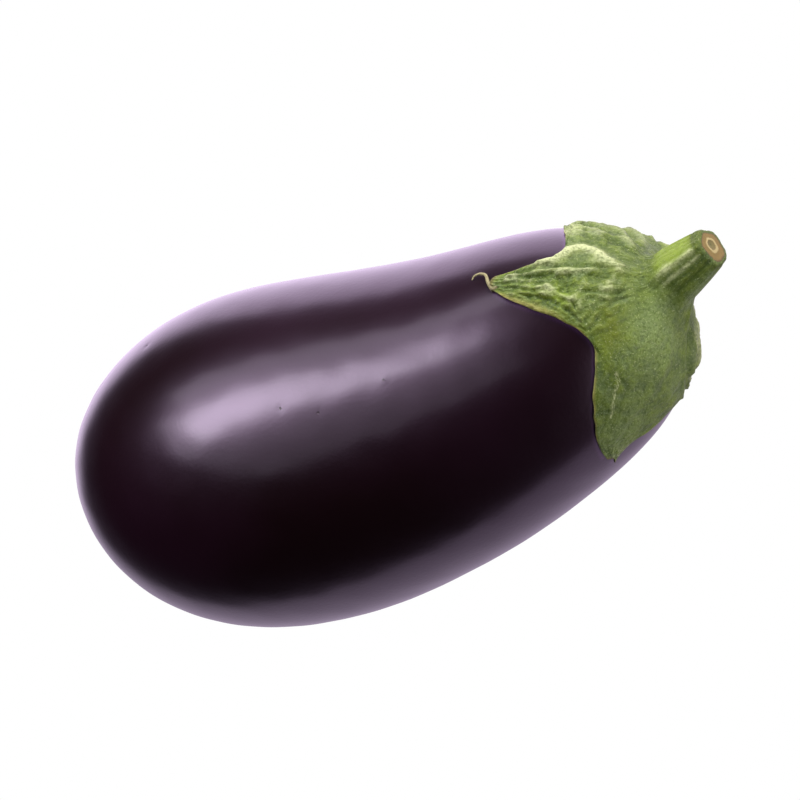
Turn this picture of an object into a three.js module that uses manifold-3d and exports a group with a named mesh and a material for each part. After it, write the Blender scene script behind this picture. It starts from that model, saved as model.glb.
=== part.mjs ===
// An eggplant lying on its side. The fruit is thick at the blossom end and slimmer towards the stem. Its green
// cap, five sepals pressed to the fruit round a short ribbed stem, grew as one piece and is one mesh.
// Millimetres, +X towards the stem, +Z up, standing on the small flat spot under the fruit's weight.

import * as THREE from 'three';
import { mergeVertices } from 'three/addons/utils/BufferGeometryUtils.js';
import Module from 'manifold-3d';

const radians = THREE.MathUtils.degToRad;
const { lerp, smoothstep } = THREE.MathUtils;

// Fruit: a round section carried along a bent centreline
const FRUIT_LENGTH = 186;
const FRUIT_RADIUS = 50.5;
const HEAVY_BLOSSOM_END = 0.0975;
const BLUNT_ENDS = 0.0965;
const SLIM_WAIST = -0.056;
const SIDE_BEND = radians(43.5);
const SIDE_BEND_FADE = radians(-103);
const UPWARD_BEND = radians(20);
const REST_PITCH = radians(-6.5);
const FLAT_SPOT_DEPTH = 0.8;
const FRUIT_RINGS = 52;
const FRUIT_SEGMENTS = 52;

// Calyx: azimuth 0 faces up and 90 faces +Y, and reach is the distance from the fruit's stem pole along its skin
const NOTCH_REACH = 30.5;
const FLARE_REACH = 12;
const SEPAL_COLUMNS = 14;
const SEPAL_ROWS = 11;
const DISC_RINGS = 6;
const UNDERSIDE_RINGS = 6;
const SKIN_GAP = 0.3;
const DISC_THICKNESS = 1.1;
const EDGE_THICKNESS = 0.7;
const MIDDLE_THICKNESS = 1.2;
const MIDRIB_HEIGHT = 0.45;
const MIDRIB_WIDTH = 1.3;
const EDGE_LIFT = 0.35;
const WAVE_LIFT = 0.2;
const WAVES_PER_EDGE = 2.5;

// Each edge leaves the rounded notch between two sepals along the circle at NOTCH_REACH, turns at its shoulder
// and runs to the tip. Azimuths are in degrees. The pillow is where the sepal puffs up off the fruit, and how far.
const SEPALS = [
  {
    start: { notch: -110, along: -93, shoulder: [-64, 45], tip: [-78, 52.2] },
    end: { notch: -10.5, along: -22, shoulder: [-44, 46], tip: [-70, 51.8] },
    tipNotch: 1.6,
    tipLift: 0.2,
    pillow: { reach: 22, spread: 7, height: 0.4 },
  },
  {
    start: { notch: -10.5, along: 10, shoulder: [22, 44.5], tip: [37.5, 52] },
    end: { notch: 56.5, along: 47, shoulder: [45.5, 38], tip: [40, 52] },
    tipNotch: 0,
    tipLift: 0.8,
    pillow: { reach: 22, spread: 7, height: 0.5 },
  },
  {
    start: { notch: 56.5, along: 65, shoulder: [77, 33], tip: [86, 36] },
    end: { notch: 107, along: 99, shoulder: [93, 33], tip: [88.5, 36] },
    tipNotch: 0,
    tipLift: 0,
    pillow: { reach: 28, spread: 6, height: 0.5 },
  },
  {
    start: { notch: 107, along: 121, shoulder: [137, 40], tip: [144.5, 47] },
    end: { notch: 180, along: 167, shoulder: [154, 40], tip: [147, 47] },
    tipNotch: 0,
    tipLift: 0.8,
    pillow: { reach: 20, spread: 7, height: 2.5 },
  },
  {
    start: { notch: 180, along: 194, shoulder: [208, 38], tip: [216, 43] },
    end: { notch: 250, along: 238, shoulder: [226, 38], tip: [218.5, 43] },
    tipNotch: 0,
    tipLift: 0.8,
    pillow: { reach: 24, spread: 6, height: 1.1 },
  },
];

// Stem: a round, slightly bowed stalk with a rib above each sepal, cut a little askew
const STEM_LENGTH = 18.8;
const STEM_HEADING = radians(18.6);
const STEM_PITCH = radians(4.5);
const STEM_ROOT_OFFSET = new THREE.Vector3(0, 1.8, 1.4);
const STEM_BOW = -0.4;
const STEM_FOOT = 6;
const STEM_FOOT_RADIUS = 7.4;
const STEM_CUT_RADIUS = 5.15;
const STEM_RIB = 0.05;
const STEM_RINGS = 6;
const FILLET_RINGS = 5;
const FILLET_REACH_IN = 2.6;
const FILLET_REACH_DOWN = 3.6;
const CUT_NORMAL = direction(radians(8), radians(3));
const CUT_BEVEL = 1.1;
const CUT_FACE_SHARE = 0.84;

const FRUIT_COLOUR = 0x21101f;
const CAP_COLOUR = 0x6f8747;

/** Unit vector with this heading from +X towards +Y and this pitch above the ground. */
function direction(heading, pitch) {
  return new THREE.Vector3(
    Math.cos(pitch) * Math.cos(heading),
    Math.cos(pitch) * Math.sin(heading),
    Math.sin(pitch),
  );
}

/** Points and triangles of one closed skin. Rings are listed from the underside's middle round to the top. */
class Skin {
  constructor() {
    this.positions = [];
    this.triangles = [];
  }

  point(position) {
    this.positions.push(position);
    return this.positions.length - 1;
  }

  ring(points) {
    return points.map((position) => this.point(position));
  }

  quad(a, b, c, d) {
    this.triangles.push(a, b, c, a, c, d);
  }

  /** Joins two open rows of the same length. */
  strip(lower, upper) {
    for (let j = 0; j < lower.length - 1; j += 1) {
      this.quad(lower[j], upper[j], upper[j + 1], lower[j + 1]);
    }
  }

  /** Joins two closed rings of the same length. */
  band(lower, upper) {
    this.strip([...lower, lower[0]], [...upper, upper[0]]);
  }

  bottomFan(centre, ring) {
    ring.forEach((corner, j) => this.triangles.push(centre, corner, ring[(j + 1) % ring.length]));
  }

  topFan(ring, centre) {
    ring.forEach((corner, j) => this.triangles.push(corner, centre, ring[(j + 1) % ring.length]));
  }

  geometry() {
    const geometry = new THREE.BufferGeometry();
    const values = this.positions.flatMap((position) => position.toArray());
    geometry.setAttribute('position', new THREE.Float32BufferAttribute(values, 3));
    geometry.setIndex(this.triangles);
    return geometry;
  }
}

// The fruit's form

/** Direction of the centreline at a distance from the blossom end. */
function centrelineDirection(distance) {
  const place = distance / FRUIT_LENGTH - 0.5;
  const heading = SIDE_BEND * place + SIDE_BEND_FADE * place ** 3;
  return direction(heading, REST_PITCH + UPWARD_BEND * place);
}

const CENTRELINE_STEPS = 300;
const centreline = traceCentreline();

function traceCentreline() {
  const step = FRUIT_LENGTH / CENTRELINE_STEPS;
  const points = [new THREE.Vector3()];
  for (let i = 0; i < CENTRELINE_STEPS; i += 1) {
    points.push(points[i].clone().addScaledVector(centrelineDirection((i + 0.5) * step), step));
  }
  return points;
}

function centrelinePoint(distance) {
  const place = (distance / FRUIT_LENGTH) * CENTRELINE_STEPS;
  const index = Math.min(Math.floor(place), CENTRELINE_STEPS - 1);
  return centreline[index].clone().lerp(centreline[index + 1], place - index);
}

/** Distance along the centreline and radius there, for an angle from 0 at the blossom end to PI at the stem. */
function fruitProfile(angle) {
  const fullness = 1 + HEAVY_BLOSSOM_END * Math.cos(angle)
    + BLUNT_ENDS * Math.cos(2 * angle) + SLIM_WAIST * Math.cos(3 * angle);
  return {
    distance: FRUIT_LENGTH * (1 - Math.cos(angle)) / 2,
    radius: FRUIT_RADIUS * Math.sin(angle) * fullness,
  };
}

/** The point at an azimuth of a circle round an axis: azimuth 0 is its highest point. */
function circlePoint(centre, axis, radius, azimuth) {
  const side = new THREE.Vector3(0, 0, 1).cross(axis).normalize();
  const up = axis.clone().cross(side);
  return centre.clone()
    .addScaledVector(up, radius * Math.cos(azimuth))
    .addScaledVector(side, radius * Math.sin(azimuth));
}

function fruitPoint(angle, azimuth) {
  const { distance, radius } = fruitProfile(angle);
  return circlePoint(centrelinePoint(distance), centrelineDirection(distance), radius, azimuth);
}

/** Outward normal of the fruit's skin, from two short steps along it. */
function fruitNormal(angle, azimuth) {
  const step = 0.001;
  const along = fruitPoint(angle + step, azimuth).sub(fruitPoint(angle - step, azimuth));
  const round = fruitPoint(angle, azimuth + step).sub(fruitPoint(angle, azimuth - step));
  return along.cross(round).normalize();
}

// Reach from the stem pole against the profile's angle, summed in short steps
const REACH_STEPS = 400;
const REACH_SPAN = Math.PI / 2;
const reachTable = traceReach();

function traceReach() {
  const reaches = [0];
  for (let i = 0; i < REACH_STEPS; i += 1) {
    const from = fruitProfile(Math.PI - (REACH_SPAN * i) / REACH_STEPS);
    const to = fruitProfile(Math.PI - (REACH_SPAN * (i + 1)) / REACH_STEPS);
    reaches.push(reaches[i] + Math.hypot(to.distance - from.distance, to.radius - from.radius));
  }
  return reaches;
}

function angleAtReach(reach) {
  const above = Math.max(1, reachTable.findIndex((value) => value >= reach));
  const part = (reach - reachTable[above - 1]) / (reachTable[above] - reachTable[above - 1]);
  return Math.PI - (REACH_SPAN * (above - 1 + part)) / REACH_STEPS;
}

/** The point this high above the fruit's skin, at a reach from the stem pole and an azimuth in degrees. */
function aboveSkin(reach, azimuthDegrees, height) {
  const angle = angleAtReach(Math.max(reach, 0.01));
  const azimuth = radians(azimuthDegrees);
  return fruitPoint(angle, azimuth).addScaledVector(fruitNormal(angle, azimuth), height);
}

function buildFruit() {
  const skin = new Skin();
  const azimuths = Array.from({ length: FRUIT_SEGMENTS }, (_, j) => (2 * Math.PI * j) / FRUIT_SEGMENTS);
  const rings = [];
  for (let i = 1; i < FRUIT_RINGS; i += 1) {
    const angle = (Math.PI * i) / FRUIT_RINGS;
    rings.push(skin.ring(azimuths.map((azimuth) => fruitPoint(angle, azimuth))));
  }
  skin.bottomFan(skin.point(centrelinePoint(0)), rings[0]);
  rings.slice(1).forEach((ring, i) => skin.band(rings[i], ring));
  skin.topFan(rings.at(-1), skin.point(centrelinePoint(FRUIT_LENGTH)));
  return skin.geometry();
}

// The cap: calyx and stem

/** How the cap stands at one place: u runs across a sepal from 0 to 1, v from the notches out to its tip. */
function heights(sepal, reach, u, v, width) {
  const middle = Math.sin(Math.PI * u) ** 0.7;
  const edge = Math.abs(2 * u - 1) ** 3;
  const outward = smoothstep(reach, FLARE_REACH, NOTCH_REACH);
  const wave = WAVE_LIFT * Math.sin(2 * Math.PI * WAVES_PER_EDGE * v + 4 * u) * Math.sqrt(v);
  const swell = Math.exp(-(((reach - sepal.pillow.reach) / sepal.pillow.spread) ** 2));
  const pillow = sepal.pillow.height * swell * Math.sin(Math.PI * u) ** 1.2;
  const underside = SKIN_GAP + edge * (EDGE_LIFT + wave) * outward + sepal.tipLift * v ** 4 + pillow;
  const blade = EDGE_THICKNESS + (MIDDLE_THICKNESS - EDGE_THICKNESS) * middle * (1 - 0.4 * v);
  const ribDistance = ((u - 0.5) * width) / MIDRIB_WIDTH;
  const midrib = MIDRIB_HEIGHT * (1 - 0.6 * v) * Math.exp(-(ribDistance ** 2)) * outward;
  return { underside, top: underside + lerp(DISC_THICKNESS, blade, outward) + midrib };
}

function edgeCurve({ notch, along, shoulder, tip }) {
  return new THREE.CubicBezierCurve(
    new THREE.Vector2(notch, NOTCH_REACH),
    new THREE.Vector2(along, NOTCH_REACH),
    new THREE.Vector2(...shoulder),
    new THREE.Vector2(...tip),
  );
}

/** Arc length in mm between two azimuths at a reach. */
function arcWidth(reach, from, to) {
  return radians(Math.abs(to - from)) * fruitProfile(angleAtReach(reach)).radius;
}

/** The columns that run from the stem's cut down the stem and out over the disc, SEPAL_COLUMNS a sepal. */
function discColumns() {
  return SEPALS.flatMap((sepal) => Array.from({ length: SEPAL_COLUMNS }, (_, j) => {
    const u = j / SEPAL_COLUMNS;
    return { sepal, u, azimuth: lerp(sepal.start.notch, sepal.end.notch, u) };
  }));
}

function discPoint({ sepal, u, azimuth }, reach, face) {
  const width = arcWidth(reach, sepal.start.notch, sepal.end.notch);
  return aboveSkin(reach, azimuth, heights(sepal, reach, u, 0, width)[face]);
}

/** One row of a sepal's points, on its top or its underside. */
function sepalRow(sepal, v, face) {
  const from = edgeCurve(sepal.start).getPoint(v);
  const to = edgeCurve(sepal.end).getPoint(v);
  const width = arcWidth((from.y + to.y) / 2, from.x, to.x);
  return Array.from({ length: SEPAL_COLUMNS + 1 }, (_, j) => {
    const u = j / SEPAL_COLUMNS;
    const azimuth = lerp(from.x, to.x, u);
    const bite = sepal.tipNotch * Math.sin(Math.PI * u) * v ** 8;
    const reach = lerp(from.y, to.y, u) - bite;
    return aboveSkin(reach, azimuth, heights(sepal, reach, u, v, width)[face]);
  });
}

/** The stem's axis, from its root at the pole to the middle of the cut. */
function stemAxis() {
  const root = centrelinePoint(FRUIT_LENGTH).add(STEM_ROOT_OFFSET);
  const cut = root.clone().addScaledVector(direction(STEM_HEADING, STEM_PITCH), STEM_LENGTH);
  const elbow = root.clone().lerp(cut, 0.5);
  elbow.y += STEM_BOW;
  return new THREE.QuadraticBezierCurve3(root, elbow, cut);
}

function stemRadius(height, u) {
  const below = (STEM_LENGTH - height) / (STEM_LENGTH - STEM_FOOT);
  const round = lerp(STEM_CUT_RADIUS, STEM_FOOT_RADIUS, below);
  return round * (1 - STEM_RIB * Math.cos(2 * Math.PI * u));
}

function stemPoint(axis, height, { u, azimuth }) {
  const place = height / STEM_LENGTH;
  return circlePoint(axis.getPoint(place), axis.getTangent(place), stemRadius(height, u), radians(azimuth));
}

/** The stem's end ring, carried along the stem onto the slanted plane of the cut. */
function cutPoint(axis, column) {
  const rim = stemPoint(axis, STEM_LENGTH, column);
  const along = axis.getTangent(1);
  const short = axis.getPoint(1).sub(rim).dot(CUT_NORMAL) / along.dot(CUT_NORMAL);
  return rim.addScaledVector(along, short);
}

/** The last point of the stem's side, where it rounds over to the cut. */
function rimPoint(axis, column) {
  return cutPoint(axis, column).addScaledVector(axis.getTangent(1), -CUT_BEVEL);
}

/** The hollow curve from the disc up into the foot of the stem. */
function filletCurve(axis, column) {
  const foot = stemPoint(axis, STEM_FOOT, column);
  const disc = discPoint(column, FLARE_REACH, 'top');
  const inward = disc.clone().sub(discPoint(column, FLARE_REACH + 1, 'top')).normalize();
  return new THREE.CubicBezierCurve3(
    disc,
    disc.clone().addScaledVector(inward, FILLET_REACH_IN),
    foot.clone().addScaledVector(axis.getTangent(STEM_FOOT / STEM_LENGTH), -FILLET_REACH_DOWN),
    foot,
  );
}

/** Adds one sepal between the notch rings of the underside and the top. */
function addSepal(skin, sepal, undersideRow, topRow) {
  let under = undersideRow;
  let over = topRow;
  for (let i = 1; i <= SEPAL_ROWS; i += 1) {
    const v = i / SEPAL_ROWS;
    const nextUnder = skin.ring(sepalRow(sepal, v, 'underside'));
    const nextOver = skin.ring(sepalRow(sepal, v, 'top'));
    skin.strip(under, nextUnder);
    skin.strip(nextOver, over);
    skin.quad(nextUnder[0], under[0], over[0], nextOver[0]);
    skin.quad(under.at(-1), nextUnder.at(-1), nextOver.at(-1), over.at(-1));
    under = nextUnder;
    over = nextOver;
  }
  skin.strip(under, over);
}

function buildCap() {
  const skin = new Skin();
  const columns = discColumns();
  const axis = stemAxis();
  const closedSlice = (ring, first) => Array.from(
    { length: SEPAL_COLUMNS + 1 },
    (_, j) => ring[(first + j) % ring.length],
  );

  // Underside, from the pole out to the notches
  const pole = skin.point(aboveSkin(0, 0, SKIN_GAP));
  let under;
  for (let i = 1; i <= UNDERSIDE_RINGS; i += 1) {
    const reach = (NOTCH_REACH * i) / UNDERSIDE_RINGS;
    const ring = skin.ring(columns.map((column) => discPoint(column, reach, 'underside')));
    if (under) skin.band(under, ring);
    else skin.bottomFan(pole, ring);
    under = ring;
  }

  // Sepals, out to their tips and back over the top
  let over = skin.ring(columns.map((column) => discPoint(column, NOTCH_REACH, 'top')));
  SEPALS.forEach((sepal, k) => {
    const first = k * SEPAL_COLUMNS;
    addSepal(skin, sepal, closedSlice(under, first), closedSlice(over, first));
  });

  // Top of the disc, the fillet and the stem, in to the middle of the cut
  const addRing = (pointAt) => {
    const ring = skin.ring(columns.map(pointAt));
    skin.band(over, ring);
    over = ring;
  };
  for (let i = 1; i <= DISC_RINGS; i += 1) {
    const reach = lerp(NOTCH_REACH, FLARE_REACH, i / DISC_RINGS);
    addRing((column) => discPoint(column, reach, 'top'));
  }
  for (let i = 1; i <= FILLET_RINGS; i += 1) {
    addRing((column) => filletCurve(axis, column).getPoint(i / FILLET_RINGS));
  }
  for (let i = 1; i <= STEM_RINGS; i += 1) {
    const part = i / STEM_RINGS;
    const height = lerp(STEM_FOOT, STEM_LENGTH, part);
    addRing((column) => stemPoint(axis, height, column).lerp(rimPoint(axis, column), part ** 2));
  }
  addRing((column) => axis.getPoint(1).lerp(cutPoint(axis, column), CUT_FACE_SHARE));
  skin.topFan(over, skin.point(axis.getPoint(1)));
  return skin.geometry();
}

// Solids

const wasm = await Module();
wasm.setup();

function toSolid(geometry) {
  const merged = mergeVertices(geometry, 1e-4);
  return new wasm.Manifold(new wasm.Mesh({
    numProp: 3,
    vertProperties: new Float32Array(merged.attributes.position.array),
    triVerts: new Uint32Array(merged.index.array),
  }));
}

function toGeometry(solid) {
  const { vertProperties, triVerts } = solid.getMesh();
  const geometry = new THREE.BufferGeometry();
  geometry.setAttribute('position', new THREE.BufferAttribute(vertProperties, 3));
  geometry.setIndex(new THREE.BufferAttribute(triVerts, 1));
  return geometry;
}

/** Cuts the flat spot that the fruit lies on, and gives the cut's height back with the fruit. */
function cutFlatSpot(geometry) {
  geometry.computeBoundingBox();
  const ground = geometry.boundingBox.min.z + FLAT_SPOT_DEPTH;
  const slab = new THREE.BoxGeometry(2 * FRUIT_LENGTH, 2 * FRUIT_LENGTH, FRUIT_RADIUS);
  slab.deleteAttribute('normal');
  slab.deleteAttribute('uv');
  slab.translate(FRUIT_LENGTH / 2, 0, ground - FRUIT_RADIUS / 2);
  return toGeometry(toSolid(geometry).subtract(toSolid(slab)));
}

function namedMesh(name, geometry, colour, roughness) {
  const material = new THREE.MeshStandardMaterial({ color: colour, roughness, metalness: 0 });
  const mesh = new THREE.Mesh(geometry, material);
  mesh.name = name;
  return mesh;
}

const group = new THREE.Group();
group.add(namedMesh('fruit', cutFlatSpot(buildFruit()), FRUIT_COLOUR, 0.22));
group.add(namedMesh('calyx_and_stem', buildCap(), CAP_COLOUR, 0.65));

// The origin is under the middle of the whole, on the ground
const box = new THREE.Box3().setFromObject(group);
const middle = box.getCenter(new THREE.Vector3());
group.position.set(-middle.x, -middle.y, -box.min.z);

export default group;
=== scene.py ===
import bpy
import numpy as np
from mathutils import Matrix


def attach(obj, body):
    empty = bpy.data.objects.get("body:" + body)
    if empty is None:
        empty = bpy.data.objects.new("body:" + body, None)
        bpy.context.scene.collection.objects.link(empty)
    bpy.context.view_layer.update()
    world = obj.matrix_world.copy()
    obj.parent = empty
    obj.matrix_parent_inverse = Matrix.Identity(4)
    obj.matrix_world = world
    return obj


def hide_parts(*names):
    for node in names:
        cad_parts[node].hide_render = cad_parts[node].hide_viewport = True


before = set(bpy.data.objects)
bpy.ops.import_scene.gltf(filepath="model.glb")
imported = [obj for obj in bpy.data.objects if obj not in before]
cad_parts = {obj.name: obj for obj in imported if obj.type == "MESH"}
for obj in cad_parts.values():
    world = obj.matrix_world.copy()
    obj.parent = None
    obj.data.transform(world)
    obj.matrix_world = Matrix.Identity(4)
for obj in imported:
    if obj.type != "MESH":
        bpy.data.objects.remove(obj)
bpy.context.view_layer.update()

# Camera. It looks down on the fruit from 60 degrees above the ground, from over the stalk's end, and is
# rolled so that the stalk points to the upper right. A small shift frames the fruit as in the photograph.
MM = 0.001
FRUIT_MIDDLE = np.array([-9.22, -1.45, 44.56])
CAMERA_ELEVATION = np.radians(60)
CAMERA_ROLL = np.radians(17.7)
CAMERA_DISTANCE = 826.1
CAMERA_LENS = 135
CAMERA_SENSOR = 36
CAMERA_SHIFT = (0.0151, 0.0376)

toward_camera = np.array([np.cos(CAMERA_ELEVATION), 0, np.sin(CAMERA_ELEVATION)])
level_right = np.array([np.sin(CAMERA_ELEVATION), 0, -np.cos(CAMERA_ELEVATION)])
level_up = np.array([0.0, 1.0, 0.0])
camera_right = np.cos(CAMERA_ROLL) * level_right - np.sin(CAMERA_ROLL) * level_up
camera_up = np.sin(CAMERA_ROLL) * level_right + np.cos(CAMERA_ROLL) * level_up


def placed(right, up, back, position):
    """Matrix of an object that looks along minus back, with its place given in millimetres."""
    matrix = np.eye(4)
    matrix[:3, :3] = np.stack([right, up, back], axis=1)
    matrix[:3, 3] = np.asarray(position) * MM
    return Matrix(matrix.tolist())


lens = bpy.data.cameras.new("camera")
lens.lens = CAMERA_LENS
lens.sensor_width = CAMERA_SENSOR
lens.shift_x, lens.shift_y = CAMERA_SHIFT
camera = bpy.data.objects.new("camera", lens)
bpy.context.scene.collection.objects.link(camera)
camera.matrix_world = placed(
    camera_right, camera_up, toward_camera, FRUIT_MIDDLE + CAMERA_DISTANCE * toward_camera
)
bpy.context.scene.camera = camera
bpy.context.scene.view_settings.view_transform = "Standard"

# Floor and light. A white sheet glows close round the fruit, which gives the skin its pale rims. A window of
# soft panes over the fruit's far side makes the long highlight, and three lamps light the stalk and the cap.
# The rest of the room is dark.
FLOOR_HALF = 1500
FLOOR_DROP = 0.05
FLOOR_WHITE = (1.0, 1.0, 1.0, 1.0)
FLOOR_LILAC = (0.92, 0.76, 1.02, 1.0)
# The glow is weaker before the fruit than behind it, changing over FLOOR_GLOW_TURN, and fades out between the
# two distances of FLOOR_GLOW_REACH. It lies round its own centre and is squeezed along X. All are in metres.
FLOOR_GLOW_FRONT = 0.66
FLOOR_GLOW_BACK = 1.9
FLOOR_GLOW_FAR = 0.05
FLOOR_GLOW_TURN = (-0.04, 0.08)
FLOOR_GLOW_REACH = (0.33, 0.47)
FLOOR_GLOW_CENTRE = (0.05, -0.14, 0.0)
FLOOR_GLOW_SQUEEZE = (1.2, 1.0, 1.0)
ROOM_DARK = (0.012, 0.010, 0.012, 1.0)


def add_node(tree, kind, sockets=(), **settings):
    """A new shader node. Each entry of sockets is a value to set, or another node's output to link."""
    made = tree.nodes.new(kind)
    for name, value in settings.items():
        setattr(made, name, value)
    for name, value in dict(sockets).items():
        if isinstance(value, bpy.types.NodeSocket):
            tree.links.new(value, made.inputs[name])
        else:
            made.inputs[name].default_value = value
    return made


def new_material(name):
    """An empty node material and its output node."""
    material = bpy.data.materials.new(name)
    material.use_nodes = True
    material.node_tree.nodes.clear()
    return material, material.node_tree, add_node(material.node_tree, "ShaderNodeOutputMaterial")


def new_object(name, points, faces, material):
    """An object at the origin from points in millimetres and faces given by index, shaded smooth."""
    mesh = bpy.data.meshes.new(name)
    mesh.from_pydata((np.asarray(points) * MM).tolist(), [], faces)
    mesh.shade_smooth()
    mesh.materials.append(material)
    made = bpy.data.objects.new(name, mesh)
    bpy.context.scene.collection.objects.link(made)
    return made


def floor_material():
    """White to the camera. To everything else it glows near the fruit and fades outwards."""
    material, tree, output = new_material("floor_white")
    place = add_node(tree, "ShaderNodeTexCoord").outputs["Object"]
    shifted = add_node(tree, "ShaderNodeMapping", {
        "Vector": place,
        "Location": [-squeeze * centre for squeeze, centre in zip(FLOOR_GLOW_SQUEEZE, FLOOR_GLOW_CENTRE)],
        "Scale": FLOOR_GLOW_SQUEEZE,
    })
    spread = add_node(tree, "ShaderNodeVectorMath", {0: shifted.outputs["Vector"]}, operation="LENGTH")
    depth = add_node(tree, "ShaderNodeSeparateXYZ", {"Vector": place})
    near = add_node(tree, "ShaderNodeMapRange", {
        "Value": depth.outputs["Y"],
        "From Min": FLOOR_GLOW_TURN[0],
        "From Max": FLOOR_GLOW_TURN[1],
        "To Min": FLOOR_GLOW_FRONT,
        "To Max": FLOOR_GLOW_BACK,
    }, interpolation_type="SMOOTHSTEP")
    glow = add_node(tree, "ShaderNodeMapRange", {
        "Value": spread.outputs["Value"],
        "From Min": FLOOR_GLOW_REACH[0],
        "From Max": FLOOR_GLOW_REACH[1],
        "To Min": near.outputs["Result"],
        "To Max": FLOOR_GLOW_FAR,
    }, interpolation_type="SMOOTHSTEP")
    seen = add_node(tree, "ShaderNodeEmission", {"Color": FLOOR_WHITE, "Strength": 1.0})
    felt = add_node(tree, "ShaderNodeEmission", {"Color": FLOOR_LILAC, "Strength": glow.outputs["Result"]})
    path = add_node(tree, "ShaderNodeLightPath")
    both = add_node(tree, "ShaderNodeMixShader", {
        0: path.outputs["Is Camera Ray"], 1: felt.outputs[0], 2: seen.outputs[0],
    })
    tree.links.new(both.outputs[0], output.inputs["Surface"])
    return material


floor_corners = [
    (x * FLOOR_HALF, y * FLOOR_HALF, -FLOOR_DROP) for x, y in ((-1, -1), (1, -1), (1, 1), (-1, 1))
]
floor = new_object("floor", floor_corners, [(0, 1, 2, 3)], floor_material())


def soft_light(name, turn_degrees, along, distance, size, power, colour, slide=(0, 0)):
    """A rectangular light facing the fruit. It turns from the camera's direction towards the fruit's far
    side, along moves it along the fruit, and slide moves it sideways and up in its own plane."""
    turn = np.radians(turn_degrees)
    back = np.cos(turn) * toward_camera + np.sin(turn) * level_up + along * level_right
    back /= np.linalg.norm(back)
    side = level_right - back * (level_right @ back)
    side /= np.linalg.norm(side)
    up = np.cross(back, side)
    light = bpy.data.lights.new(name, "AREA")
    light.shape = "RECTANGLE"
    light.size, light.size_y = size[0] * MM, size[1] * MM
    light.energy = power
    light.color = colour
    made = bpy.data.objects.new(name, light)
    bpy.context.scene.collection.objects.link(made)
    position = FRUIT_MIDDLE + distance * back + slide[0] * side + slide[1] * up
    made.matrix_world = placed(side, up, back, position)


# The window hangs at one place. Each pane has a name, a size, a slide and a power, and the panes overlap so
# that the window fades outwards.
WINDOW_TURN = 45
WINDOW_ALONG = -0.45
WINDOW_DISTANCE = 300
WINDOW_VIOLET = (0.97, 0.94, 1.04)
WINDOW_PANES = (
    ("window_middle", (165, 86), (-64, 0), 0.50),
    ("window_pane", (190, 118), (-72, -1), 0.34),
    ("window_wide", (245, 160), (-80, 2), 0.29),
    ("window_top", (250, 84), (-15, 108), 0.17),
    ("window_sill", (210, 90), (-75, -105), 0.07),
    ("window_tail", (210, 200), (-70, -165), 0.10),
)
for name, size, slide, power in WINDOW_PANES:
    soft_light(name, WINDOW_TURN, WINDOW_ALONG, WINDOW_DISTANCE, size, power, WINDOW_VIOLET, slide)

# Each lamp has a name, its turn in degrees, its place along the fruit, its distance, its size and its power
LAMP_WHITE = (1.0, 1.0, 0.97)
LAMPS = (
    ("stalk_light", -40, 1.15, 700, (700, 700), 6.0),
    ("cap_light", 52, 0.72, 600, (380, 380), 1.0),
    ("raking_light", 63, 0.36, 500, (240, 200), 3.2),
)
for name, turn_degrees, along, distance, size, power in LAMPS:
    soft_light(name, turn_degrees, along, distance, size, power, LAMP_WHITE)

world = bpy.data.worlds.new("studio")
world.use_nodes = True
world.node_tree.nodes.clear()
world_seen = add_node(world.node_tree, "ShaderNodeBackground", {"Color": FLOOR_WHITE, "Strength": 1.0})
world_felt = add_node(world.node_tree, "ShaderNodeBackground", {"Color": ROOM_DARK, "Strength": 1.0})
world_path = add_node(world.node_tree, "ShaderNodeLightPath")
world_both = add_node(world.node_tree, "ShaderNodeMixShader", {
    0: world_path.outputs["Is Camera Ray"], 1: world_felt.outputs[0], 2: world_seen.outputs[0],
})
add_node(world.node_tree, "ShaderNodeOutputWorld", {"Surface": world_both.outputs[0]})
bpy.context.scene.world = world

# Fruit. A round section carried along a centreline that bends sideways and a little upwards. It is thick at
# the blossom end, has blunt ends and a slim waist, and lies on a small flat spot. The skin is thin, tight and
# waxed by nature, with a few pits and a corky scar where the flower was.
FRUIT_LENGTH = 186
FRUIT_RADIUS = 50.4
HEAVY_BLOSSOM_END = 0.0975
BLUNT_ENDS = 0.0965
SLIM_WAIST = -0.056
SIDE_BEND = np.radians(43.5)
SIDE_BEND_FADE = np.radians(-103)
UPWARD_BEND = np.radians(20)
REST_PITCH = np.radians(-6.5)
BLOSSOM_POLE = np.array([-99.287, 10.613, 63.081])
CENTRELINE_STEPS = 300
FRUIT_RINGS = 310
FRUIT_SEGMENTS = 300
# Unevenness of the skin: height and size
SKIN_WAVE = (0.12, 42)
SKIN_RIPPLE = (0.034, 9)
SCAR_RADIUS = 3.2
SCAR_DEPTH = 0.7
# The scar's raised rim: height as a share of its depth, place and width in scar radii
SCAR_RIM = (0.1, 1.7, 0.5)
# How much the scar's outline wanders, and the size of its lobes
SCAR_OUTLINE = (0.22, 3.5)
# The blossom end is a little hollow: depth, and width in scar radii
BLOSSOM_SINK = (0.28, 4)
# Pits and one bump: azimuth in degrees, distance from the stalk along the skin, radius and depth
SKIN_MARKS = (
    (62.5, 173.5, 0.9, 0.15),
    (17.5, 121.7, 0.7, 0.08),
    (12.5, 110.2, 0.6, 0.06),
    (16, 88.3, 0.7, -0.07),
)
PIT_RADIUS = 0.42
SKIN_BLACK = (0.0032, 0.0004, 0.0007, 1.0)
SKIN_PURPLE = (0.0072, 0.0014, 0.0042, 1.0)
SKIN_VIOLET = (0.080, 0.035, 0.100, 1.0)
SCAR_BROWN = (0.12, 0.07, 0.035, 1.0)
PIT_BROWN = (0.006, 0.003, 0.002, 1.0)
# Roughness of the skin from patch to patch, and how much rougher the scar is
SKIN_ROUGHNESS = (0.28, 0.34)
SCAR_ROUGHER = 0.45


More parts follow.
